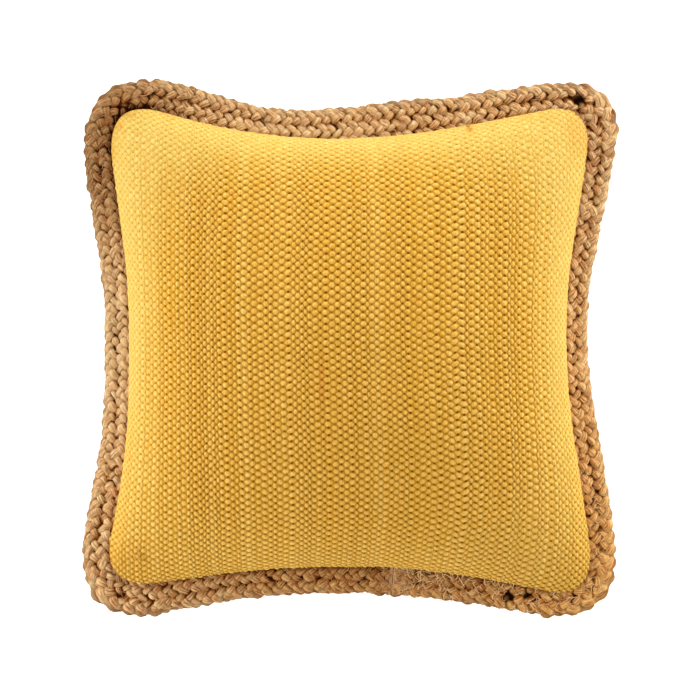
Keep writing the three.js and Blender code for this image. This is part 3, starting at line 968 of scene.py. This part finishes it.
# ---------------------------------------------------------------------------
# Materials
# ---------------------------------------------------------------------------
class Nodes:
    """A short way to write a material's nodes."""

    def __init__(self, name):
        self.mat = bpy.data.materials.new(name)
        self.mat.use_nodes = True
        self.tree = self.mat.node_tree
        self.tree.nodes.clear()
        self.out = self.tree.nodes.new("ShaderNodeOutputMaterial")
        self.bsdf = self.tree.nodes.new("ShaderNodeBsdfPrincipled")
        self.link(self.bsdf.outputs[0], self.out.inputs[0])

    def link(self, a, b):
        self.tree.links.new(a, b)

    def put(self, socket, value):
        if hasattr(value, "is_output") or isinstance(value, bpy.types.NodeSocket):
            self.link(value, socket)
        else:
            socket.default_value = value

    def attr(self, name):
        n = self.tree.nodes.new("ShaderNodeAttribute")
        n.attribute_name = name
        return n.outputs["Fac"]

    def math(self, op, a, b=0.0, c=0.0, clamp=False):
        n = self.tree.nodes.new("ShaderNodeMath")
        n.operation = op
        n.use_clamp = clamp
        for s, v in zip(n.inputs, (a, b, c)):
            self.put(s, v)
        return n.outputs[0]

    def ramp(self, value, low, high, to_low=0.0, to_high=1.0, smooth=False):
        n = self.tree.nodes.new("ShaderNodeMapRange")
        n.interpolation_type = "SMOOTHSTEP" if smooth else "LINEAR"
        for s, v in zip((n.inputs["Value"], n.inputs["From Min"], n.inputs["From Max"], n.inputs["To Min"], n.inputs["To Max"]), (value, low, high, to_low, to_high)):
            self.put(s, v)
        return n.outputs[0]

    def xyz(self, x, y, z=0.0):
        n = self.tree.nodes.new("ShaderNodeCombineXYZ")
        for s, v in zip(n.inputs, (x, y, z)):
            self.put(s, v)
        return n.outputs[0]

    def noise(self, vector, scale=1.0, detail=2.0, rough=0.5):
        n = self.tree.nodes.new("ShaderNodeTexNoise")
        self.put(n.inputs["Vector"], vector)
        n.inputs["Scale"].default_value = scale
        n.inputs["Detail"].default_value = detail
        n.inputs["Roughness"].default_value = rough
        return n.outputs["Fac"]

    def white(self, vector):
        n = self.tree.nodes.new("ShaderNodeTexWhiteNoise")
        n.noise_dimensions = "3D"
        self.put(n.inputs["Vector"], vector)
        return n.outputs["Value"]

    def mix(self, fac, a, b, kind="MIX"):
        n = self.tree.nodes.new("ShaderNodeMix")
        n.data_type = "RGBA"
        n.blend_type = kind
        self.put(n.inputs[0], fac)
        self.put(n.inputs[6], a)
        self.put(n.inputs[7], b)
        return n.outputs[2]

    def bump(self, height, distance, strength=1.0, normal=None):
        n = self.tree.nodes.new("ShaderNodeBump")
        n.inputs["Strength"].default_value = strength
        self.put(n.inputs["Distance"], distance)
        self.put(n.inputs["Height"], height)
        if normal is not None:
            self.link(normal, n.inputs["Normal"])
        return n.outputs[0]

    def object_place(self):
        return self.tree.nodes.new("ShaderNodeTexCoord").outputs["Object"]


def rgb(r, g, b):
    """A colour as it shows, 0 to 255, for a shader."""
    def lin(v):
        v /= 255.0
        return v / 12.92 if v <= 0.04045 else ((v + 0.055) / 1.055) ** 2.4
    return (lin(r), lin(g), lin(b), 1.0)


def cotton_material(name, seed):
    m = Nodes(name)
    col, row = m.attr("col"), m.attr("row")
    column = m.math("FLOOR", col)
    odd = m.math("MODULO", column, 2.0)
    shifted = m.math("MULTIPLY_ADD", odd, 0.5, row)
    place = m.object_place()
    # the beads' outlines aren't quite even
    wob = m.noise(place, 330.0, 1.0, 0.5)
    wob2 = m.noise(place, 410.0, 1.0, 0.5)
    p = m.math("MULTIPLY_ADD", m.math("SUBTRACT", wob, 0.5), 0.16, m.math("SUBTRACT", m.math("SUBTRACT", col, column), 0.5))
    q = m.math("MULTIPLY_ADD", m.math("SUBTRACT", wob2, 0.5), 0.11, m.math("SUBTRACT", m.math("FRACT", shifted), 0.5))
    pa, qa = m.math("ABSOLUTE", p), m.math("ABSOLUTE", q)

    def dome(x, y, wide, long_):
        xx = m.math("POWER", m.math("DIVIDE", x, wide), 2.0)
        yy = m.math("POWER", m.math("DIVIDE", y, long_), 2.0)
        return m.math("SUBTRACT", m.math("SUBTRACT", 1.0, xx), yy)

    own = dome(pa, qa, BEAD_WIDE, BEAD_LONG)
    beside = dome(m.math("SUBTRACT", 1.0, pa), m.math("SUBTRACT", 0.5, qa), BEAD_WIDE, BEAD_LONG)
    high = m.math("SQRT", m.math("MAXIMUM", m.math("MAXIMUM", own, beside), 0.0))
    ident = m.xyz(column, m.math("FLOOR", shifted), float(seed))
    each = m.white(ident)
    streak = m.white(m.xyz(column, float(seed), 5.0))
    band = m.noise(m.xyz(m.math("MULTIPLY", col, 0.17), m.math("MULTIPLY", row, 0.006), float(seed)), 1.0, 2.0, 0.6)
    # fibres run across each bead
    fibre = m.noise(m.xyz(m.math("MULTIPLY", col, 3.6), m.math("MULTIPLY", row, 1.6), m.math("MULTIPLY", each, 9.0)), 1.0, 3.0, 0.7)
    speck = m.noise(place, 620.0, 2.0, 0.6)
    grain = m.noise(place, 2600.0, 2.0, 0.6)
    tone = m.math("ADD", m.math("MULTIPLY", each, 0.30), m.math("ADD", m.math("MULTIPLY", streak, 0.35), m.math("MULTIPLY", m.ramp(band, 0.3, 0.7), 0.35)))
    taut_and_edge_lit = m.attr("taut_and_edge_lit")
    light = m.mix(tone, COTTON_MID, COTTON_PALE)
    stripe = m.noise(m.xyz(m.math("MULTIPLY", col, 0.085), m.math("MULTIPLY", row, 0.004), float(seed) + 9.0), 1.0, 3.0, 0.6)
    light = m.mix(m.math("MULTIPLY", m.ramp(stripe, 0.42, 0.62), m.ramp(row, 69.0, 0.0, 0.25, 0.6)), light, COTTON_DEEP)
    # single columns of a darker or a paler yarn
    lone = m.white(m.xyz(column, float(seed), 21.0))
    light = m.mix(m.ramp(lone, 0.80, 1.0, 0.0, 0.5), light, COTTON_DEEP)
    light = m.mix(m.ramp(lone, 0.16, 0.0, 0.0, 0.5), light, COTTON_LIT)
    slow = m.noise(place, 14.0, 2.0, 0.5)
    light = m.mix(m.ramp(slow, 0.35, 0.65, 0.0, 0.22), light, COTTON_WARM)
    # where the cloth is pulled taut near the seam it is smoother; the paler yellow there is a painted sheen on the lit
    # edges
    light = m.mix(m.ramp(taut_and_edge_lit, 0.0, 1.0, 0.0, 0.85), light, COTTON_PAINTED_SHEEN)
    light = m.mix(m.ramp(fibre, 0.38, 0.54, 0.75, 0.0), light, COTTON_DEEP)
    light = m.mix(m.ramp(fibre, 0.52, 0.66, 0.0, 0.5), light, COTTON_LIT)
    light = m.mix(m.ramp(speck, 0.56, 0.70, 0.0, 0.7), light, COTTON_LIT)
    light = m.mix(m.ramp(speck, 0.30, 0.44, 0.6, 0.0), light, COTTON_DEEP)
    light = m.mix(m.math("MULTIPLY", m.attr("warm"), 0.8), light, rgb(222, 136, 56))
    # painted shade from the shade spots
    light = m.mix(m.attr("shade"), light, rgb(196, 138, 40))
    # painted shade darkens a bead towards its rim and into the groove round it, with the yarn's deeper colour there,
    # less where the cloth is taut at the lit edges; near the viewer a painted highlight lightens its top
    dome_at = m.math("MAXIMUM", own, beside)
    light = m.mix(m.math("MULTIPLY", m.ramp(dome_at, 0.45, 0.9), m.ramp(row, 48.0, 0.0, 0.0, 0.3)), light, COTTON_LIT)
    rim = m.ramp(dome_at, 0.60, 0.0, 0.0, 1.0, smooth=True)
    light = m.mix(m.math("MULTIPLY", rim, m.ramp(taut_and_edge_lit, 0.0, 1.0, 0.45, 0.25)), light, m.mix(m.ramp(taut_and_edge_lit, 0.0, 0.7), COTTON_DEEP, COTTON_OLIVE))
    groove_shade = m.ramp(dome_at, 0.22, -0.12, 0.0, 1.0, smooth=True)
    colour = m.mix(m.math("MULTIPLY", groove_shade, m.ramp(taut_and_edge_lit, 0.0, 0.8, 0.52, 0.30)), light, m.mix(m.ramp(taut_and_edge_lit, 0.0, 0.7), COTTON_GAP, COTTON_OLIVE))
    # painted shade in the hole between a bead and the next one of its column: wide and short, and paler where the cloth
    # is taut at the lit edges
    hx = m.math("POWER", m.math("DIVIDE", pa, m.ramp(taut_and_edge_lit, 0.0, 0.8, 0.27, 0.24)), 2.0)
    hy = m.math("POWER", m.math("DIVIDE", m.math("SUBTRACT", 0.5, qa), m.ramp(taut_and_edge_lit, 0.0, 0.8, 0.20, 0.15)), 2.0)
    hole = m.ramp(m.math("ADD", hx, hy), 0.12, 1.2, 1.0, 0.0, smooth=True)
    # some columns are beaten up closer than others, so their holes show less
    open_ = m.math("ADD", m.white(m.xyz(column, float(seed), 9.0)), m.noise(m.xyz(m.math("MULTIPLY", col, 0.31), m.math("MULTIPLY", row, 0.09), float(seed) + 4.0), 1.0, 2.0, 0.5))
    open_ = m.math("ADD", open_, m.math("MULTIPLY", m.white(m.xyz(column, m.math("FLOOR", m.math("ADD", shifted, 0.5)), 13.0)), 0.35))
    open_ = m.ramp(open_, 0.6, 1.4, 0.4, 1.0)
    pit_shade = m.mix(m.math("MULTIPLY", taut_and_edge_lit, 0.9), COTTON_PIT, COTTON_FAR_PIT)
    colour = m.mix(m.math("MULTIPLY", m.math("MULTIPLY", hole, open_), m.ramp(taut_and_edge_lit, 0.0, 1.0, 1.0, 0.66)), colour, pit_shade)
    m.put(m.bsdf.inputs["Base Color"], colour)
    m.bsdf.inputs["Roughness"].default_value = 0.86
    m.bsdf.inputs["Specular IOR Level"].default_value = 0.04
    n1 = m.bump(high, m.ramp(taut_and_edge_lit, 0.0, 1.0, 0.0010, 0.0006), 0.8)
    n2 = m.bump(m.math("ADD", m.math("MULTIPLY", fibre, 1.0), m.math("MULTIPLY", grain, 0.5)), 0.00045, 0.8, n1)
    m.link(n2, m.bsdf.inputs["Normal"])
    return m.mat


def yarn_material(name):
    """The same cotton, on a short loose end."""
    m = Nodes(name)
    place = m.object_place()
    fibre = m.noise(place, 1500.0, 3.0, 0.6)
    m.put(m.bsdf.inputs["Base Color"], m.mix(fibre, COTTON_GAP, COTTON_PALE))
    m.bsdf.inputs["Roughness"].default_value = 0.88
    m.bsdf.inputs["Specular IOR Level"].default_value = 0.04
    m.link(m.bump(fibre, 0.0004, 0.7), m.bsdf.inputs["Normal"])
    return m.mat


def jute_material(name, seed):
    m = Nodes(name)
    along, ca, sa, who = m.attr("along"), m.attr("around"), m.attr("around2"), m.attr("who")
    crossing = m.attr("crossing")
    # fibres: thin streaks that run along the strand
    fine = m.noise(m.xyz(m.math("MULTIPLY", ca, 3.8), m.math("MULTIPLY", sa, 3.8), m.math("MULTIPLY", along, 0.14)), 1.0, 3.0, 0.7)
    coarse = m.noise(m.xyz(m.math("MULTIPLY", ca, 2.0), m.math("MULTIPLY", sa, 2.0), m.math("MULTIPLY", along, 0.11)), 1.0, 2.0, 0.55)
    # each stretch that shows has a tone of its own, and the strand's own tone goes slowly along it
    grain = m.math("FLOOR", m.math("MULTIPLY", crossing, 0.5))
    own = m.white(m.xyz(grain, who, float(seed)))
    other = m.white(m.xyz(grain, who, float(seed) + 7.0))
    slow = m.noise(m.xyz(m.math("MULTIPLY", along, 0.02), m.math("MULTIPLY", who, 31.0), float(seed)), 1.0, 2.0, 0.55)
    tone = m.math("ADD", m.math("MULTIPLY_ADD", own, 0.55, 0.02), m.math("MULTIPLY", m.ramp(slow, 0.3, 0.7), 0.4))
    base = m.mix(m.ramp(tone, 0.1, 0.5, smooth=True), JUTE_BROWN, JUTE_TAN)
    base = m.mix(m.ramp(tone, 0.5, 0.95, smooth=True), base, JUTE_PALE)
    base = m.mix(m.ramp(other, 0.80, 0.92, 0.0, 0.6), base, JUTE_RED)
    base = m.mix(m.ramp(other, 0.12, 0.06, 0.0, 0.6), base, JUTE_GREY)
    base = m.mix(m.math("MULTIPLY", m.attr("warm"), 0.75), base, JUTE_RED)
    base = m.mix(m.math("MULTIPLY", m.attr("pale"), 0.7), base, JUTE_PALE)
    base = m.mix(m.ramp(coarse, 0.34, 0.48, 0.65, 0.0), base, JUTE_SHADOW)
    base = m.mix(m.ramp(coarse, 0.52, 0.64, 0.0, 0.5), base, JUTE_LIGHT)
    base = m.mix(m.ramp(fine, 0.50, 0.62, 0.0, 0.78), base, JUTE_LIGHT)
    base = m.mix(m.ramp(fine, 0.36, 0.47, 0.85, 0.0), base, JUTE_SHADOW)
    # the yarns that make up a strand lie side by side: painted shade in the lines between them and a painted highlight
    # along their crests
    turn = m.math("ARCTAN2", sa, ca)
    drift = m.noise(m.xyz(m.math("MULTIPLY", along, 0.09), m.math("MULTIPLY", who, 17.0), float(seed) + 2.0), 1.0, 2.0, 0.5)
    yarn = m.math("COSINE", m.math("ADD", m.math("MULTIPLY", turn, 9.0), m.math("ADD", m.math("MULTIPLY", drift, 14.0), m.math("MULTIPLY", own, 6.28))))
    lines = m.ramp(m.noise(m.xyz(m.math("MULTIPLY", along, 0.22), m.math("MULTIPLY", who, 5.0), m.math("MULTIPLY", turn, 0.8)), 1.0, 1.0, 0.5), 0.35, 0.6)
    base = m.mix(m.math("MULTIPLY", m.ramp(yarn, -0.3, -0.95, 0.0, 0.5), lines), base, JUTE_SHADOW)
    base = m.mix(m.ramp(yarn, 0.4, 1.0, 0.0, 0.3), base, JUTE_LIGHT)
    # a painted highlight where the blunt end of a grain catches the light, and painted shade on its thin end, in the
    # dip behind the grain before it
    head = m.attr("head")
    base = m.mix(m.ramp(head, 0.0, 0.6, 0.0, 0.55), base, JUTE_LIGHT)
    base = m.mix(m.ramp(head, -0.25, -0.9, 0.0, 0.5), base, JUTE_SHADOW)
    # what lies deep between the strands is darker and redder: the light that gets there has passed over more jute
    rim = m.attr("rim")
    flank = m.ramp(m.attr("deep"), 0.0, 0.6)
    base = m.mix(m.math("MULTIPLY", flank, m.ramp(rim, 0.0, 1.0, 1.0, 0.7)), base, JUTE_FLANK, "MULTIPLY")
    deep = m.ramp(m.attr("deep"), 0.22, 0.86, 0.0, 1.0, smooth=True)
    deep = m.math("MULTIPLY", deep, m.ramp(rim, 0.0, 1.0, 1.0, 0.45))
    # painted light: the outermost turns are paler at the plait's outer edge
    base = m.mix(m.math("MULTIPLY", rim, 0.4), base, JUTE_LIGHT)
    # painted light and shade over broad stretches, and a greyer or redder tone
    bright, grey = m.attr("bright"), m.attr("grey")
    base = m.mix(m.ramp(bright, 0.0, 0.6, 0.0, 0.6), base, JUTE_LIGHT)
    base = m.mix(m.ramp(bright, 0.0, -0.5, 0.0, 0.72), base, JUTE_DIM, "MULTIPLY")
    base = m.mix(m.ramp(grey, 0.0, 0.5, 0.0, 0.75), base, JUTE_GREY)
    base = m.mix(m.ramp(grey, 0.0, -0.5, 0.0, 0.9), base, JUTE_WARMER, "MULTIPLY")
    # painted shade along the cover's edge, weaker where the stretch is lighter
    deep = m.math("MAXIMUM", deep, m.math("MULTIPLY", m.attr("seam_shade"), m.ramp(bright, -0.3, 0.1, 0.75, 0.25)))
    base = m.mix(deep, base, JUTE_DEPTH, "MULTIPLY")
    # painted shade where the inner rows sink behind the cover's edge
    base = m.mix(m.math("MULTIPLY", m.attr("sunk"), 0.5), base, JUTE_SUNK_SHADE, "MULTIPLY")
    # near black in the holes, painted shade where the strands dip apart; darker also at the dark spots
    base = m.mix(m.math("MULTIPLY", m.attr("dark"), 0.95), base, JUTE_BLACK)
    m.put(m.bsdf.inputs["Base Color"], base)
    m.bsdf.inputs["Roughness"].default_value = 0.6
    m.bsdf.inputs["Specular IOR Level"].default_value = 0.05
    n1 = m.bump(m.math("ADD", m.math("MULTIPLY", fine, 0.8), m.math("MULTIPLY", coarse, 0.9)), 0.0018, 1.0)
    m.link(n1, m.bsdf.inputs["Normal"])
    return m.mat


def fibre_material(name, low, high):
    m = Nodes(name)
    place = m.object_place()
    n = m.noise(place, 900.0, 2.0, 0.5)
    tone = m.attr("tone")
    base = m.mix(tone, low, high)
    base = m.mix(m.ramp(n, 0.3, 0.7, 0.0, 0.4), base, JUTE_BROWN)
    base = m.mix(m.ramp(tone, 0.9, 1.0, 0.0, 0.95), base, rgb(255, 218, 162))
    m.put(m.bsdf.inputs["Base Color"], base)
    m.bsdf.inputs["Roughness"].default_value = 0.7
    m.bsdf.inputs["Specular IOR Level"].default_value = 0.03
    return m.mat


def thread_material(name, low, high):
    m = Nodes(name)
    place = m.object_place()
    n = m.noise(place, 1100.0, 3.0, 0.6)
    base = m.mix(m.ramp(n, 0.3, 0.7), low, high)
    m.put(m.bsdf.inputs["Base Color"], base)
    m.bsdf.inputs["Roughness"].default_value = 0.7
    m.bsdf.inputs["Specular IOR Level"].default_value = 0.05
    m.link(m.bump(n, 0.0003, 0.6), m.bsdf.inputs["Normal"])
    return m.mat


# colours as they show in even light; some of them stand in for painted shade, sheen or highlight where they are used
COTTON_PALE = rgb(248, 198, 100)
COTTON_MID = rgb(232, 177, 70)
COTTON_PAINTED_SHEEN = rgb(222, 196, 114)
COTTON_DEEP = rgb(222, 162, 46)
COTTON_WARM = rgb(240, 176, 64)
COTTON_GAP = rgb(172, 110, 2)
COTTON_LIT = rgb(255, 216, 122)
COTTON_OLIVE = rgb(206, 164, 70)
COTTON_FAR_PIT = rgb(166, 116, 22)
COTTON_PIT = rgb(134, 72, 0)
JUTE_PALE = rgb(248, 204, 146)
JUTE_TAN = rgb(228, 164, 98)
JUTE_BROWN = rgb(192, 122, 60)
JUTE_RED = rgb(214, 126, 66)
JUTE_GREY = rgb(216, 184, 136)
JUTE_LIGHT = rgb(255, 226, 172)
JUTE_SHADOW = rgb(136, 72, 18)
JUTE_DEPTH = (0.15, 0.05, 0.007, 1.0)
JUTE_FLANK = (0.90, 0.68, 0.36, 1.0)
JUTE_SUNK_SHADE = (0.40, 0.24, 0.12, 1.0)
JUTE_DIM = (0.36, 0.26, 0.16, 1.0)
JUTE_WARMER = (1.0, 0.82, 0.50, 1.0)
JUTE_BLACK = rgb(40, 18, 4)
THREAD_PALE = rgb(252, 214, 162)
THREAD_DARK = rgb(194, 136, 82)

cotton = cotton_material("cotton_weave", 3)
yarn = yarn_material("cotton_yarn")
jute = jute_material("jute_strand", 5)
fibre = fibre_material("jute_fibre", JUTE_BROWN, JUTE_LIGHT)
thread = thread_material("whipping_thread", THREAD_DARK, THREAD_PALE)
brown_thread = thread_material("whipping_thread_brown", JUTE_BLACK, JUTE_SHADOW)
for piece in (front_cloth, back_cloth):
    piece.data.materials.append(cotton)
for piece in (pucker, nub):
    piece.data.materials.append(yarn)
for piece in strands:
    piece.data.materials.append(jute)
for piece in (hairs, fuzz):
    piece.data.materials.append(fibre)
for piece in (whip, whip2):
    piece.data.materials.append(thread)
whip3.data.materials.append(brown_thread)


# ---------------------------------------------------------------------------
# What each piece belongs to
# ---------------------------------------------------------------------------
for piece in (front_cloth, back_cloth):
    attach(piece, "root")
    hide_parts("cushion")
for piece in (pucker, nub):
    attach(piece, "root")
    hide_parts("cushion")
for piece in (*strands, hairs, fuzz, whip, whip2, whip3):
    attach(piece, "root")
    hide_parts("braid")


# ---------------------------------------------------------------------------
# Floor, light and camera
# ---------------------------------------------------------------------------
def floor_material():
    m = Nodes("floor_pale")
    m.bsdf.inputs["Base Color"].default_value = (0.92, 0.92, 0.92, 1)
    m.bsdf.inputs["Roughness"].default_value = 0.9
    m.bsdf.inputs["Specular IOR Level"].default_value = 0.1
    m.bsdf.inputs["Emission Color"].default_value = (1, 1, 1, 1)
    m.bsdf.inputs["Emission Strength"].default_value = 0.5
    return m.mat


floor = make_mesh("floor", [(-6, -6, 0), (6, -6, 0), (6, 6, 0), (-6, 6, 0)], [(0, 1, 2, 3)], smooth=False)
floor.location.z = -0.0005
floor.data.materials.append(floor_material())


def area_light(name, place, target, size, power, colour=(1, 1, 1)):
    data = bpy.data.lights.new(name, "AREA")
    data.shape = "RECTANGLE"
    data.size, data.size_y = size
    data.energy = power
    data.color = colour
    obj = bpy.data.objects.new(name, data)
    obj.location = place
    obj.rotation_mode = "QUATERNION"
    obj.rotation_quaternion = (Vector(target) - Vector(place)).to_track_quat("-Z", "Y")
    bpy.context.scene.collection.objects.link(obj)
    return obj


AIM = (0, 0, 0.08)
area_light("light_above", (0, 0, 2.6), AIM, (1.6, 1.6), 26.0)
area_light("light_far_low", (0, 1.6, 0.35), AIM, (1.8, 0.6), 15.5)
area_light("light_far", (0, 1.6, 0.75), AIM, (1.8, 0.6), 10.5)
area_light("light_left_low", (-1.6, 0.24, 0.35), AIM, (1.8, 0.6), 9.5)
area_light("light_left", (-1.6, 0.24, 0.75), AIM, (1.8, 0.6), 8.0)
area_light("light_right_low", (1.6, 0.24, 0.35), AIM, (1.8, 0.6), 19.0)
area_light("light_right", (1.6, 0.24, 0.75), AIM, (1.8, 0.6), 9.0)
area_light("light_near_left", (-1.2, -1.2, 0.75), AIM, (1.8, 0.6), 19.0)

world = bpy.data.worlds.new("studio")
bpy.context.scene.world = world
world.use_nodes = True
world.node_tree.nodes["Background"].inputs[0].default_value = (1, 1, 1, 1)
world.node_tree.nodes["Background"].inputs[1].default_value = 0.02

# straight above the face; 0.93 mm of the seam's plane to a pixel of 700
LENS = 85.0
wide = 700 * PIXEL * MM
distance = wide * LENS / 36.0
cam = bpy.data.cameras.new("camera")
cam.lens = LENS
cam.sensor_width = 36.0
cam.clip_start, cam.clip_end = 0.05, 30
camera = bpy.data.objects.new("camera", cam)
# the picture's middle is 0.4 px right of and 2.1 px below the outline's
camera.location = ((0.4 * PIXEL + SHIFT[0]) * MM, (-2.1 * PIXEL + SHIFT[1]) * MM, SEAM_HEIGHT * MM + distance)
camera.rotation_euler = (0, 0, 0)
bpy.context.scene.collection.objects.link(camera)
bpy.context.scene.camera = camera

view = bpy.context.scene.view_settings
view.view_transform = "Standard"
view.look = "None"

print("triangles", {p.name: sum(len(f.vertices) - 2 for f in p.data.polygons) for p in (front_cloth, back_cloth, *strands, hairs, fuzz, whip, whip2, whip3, pucker, nub)})
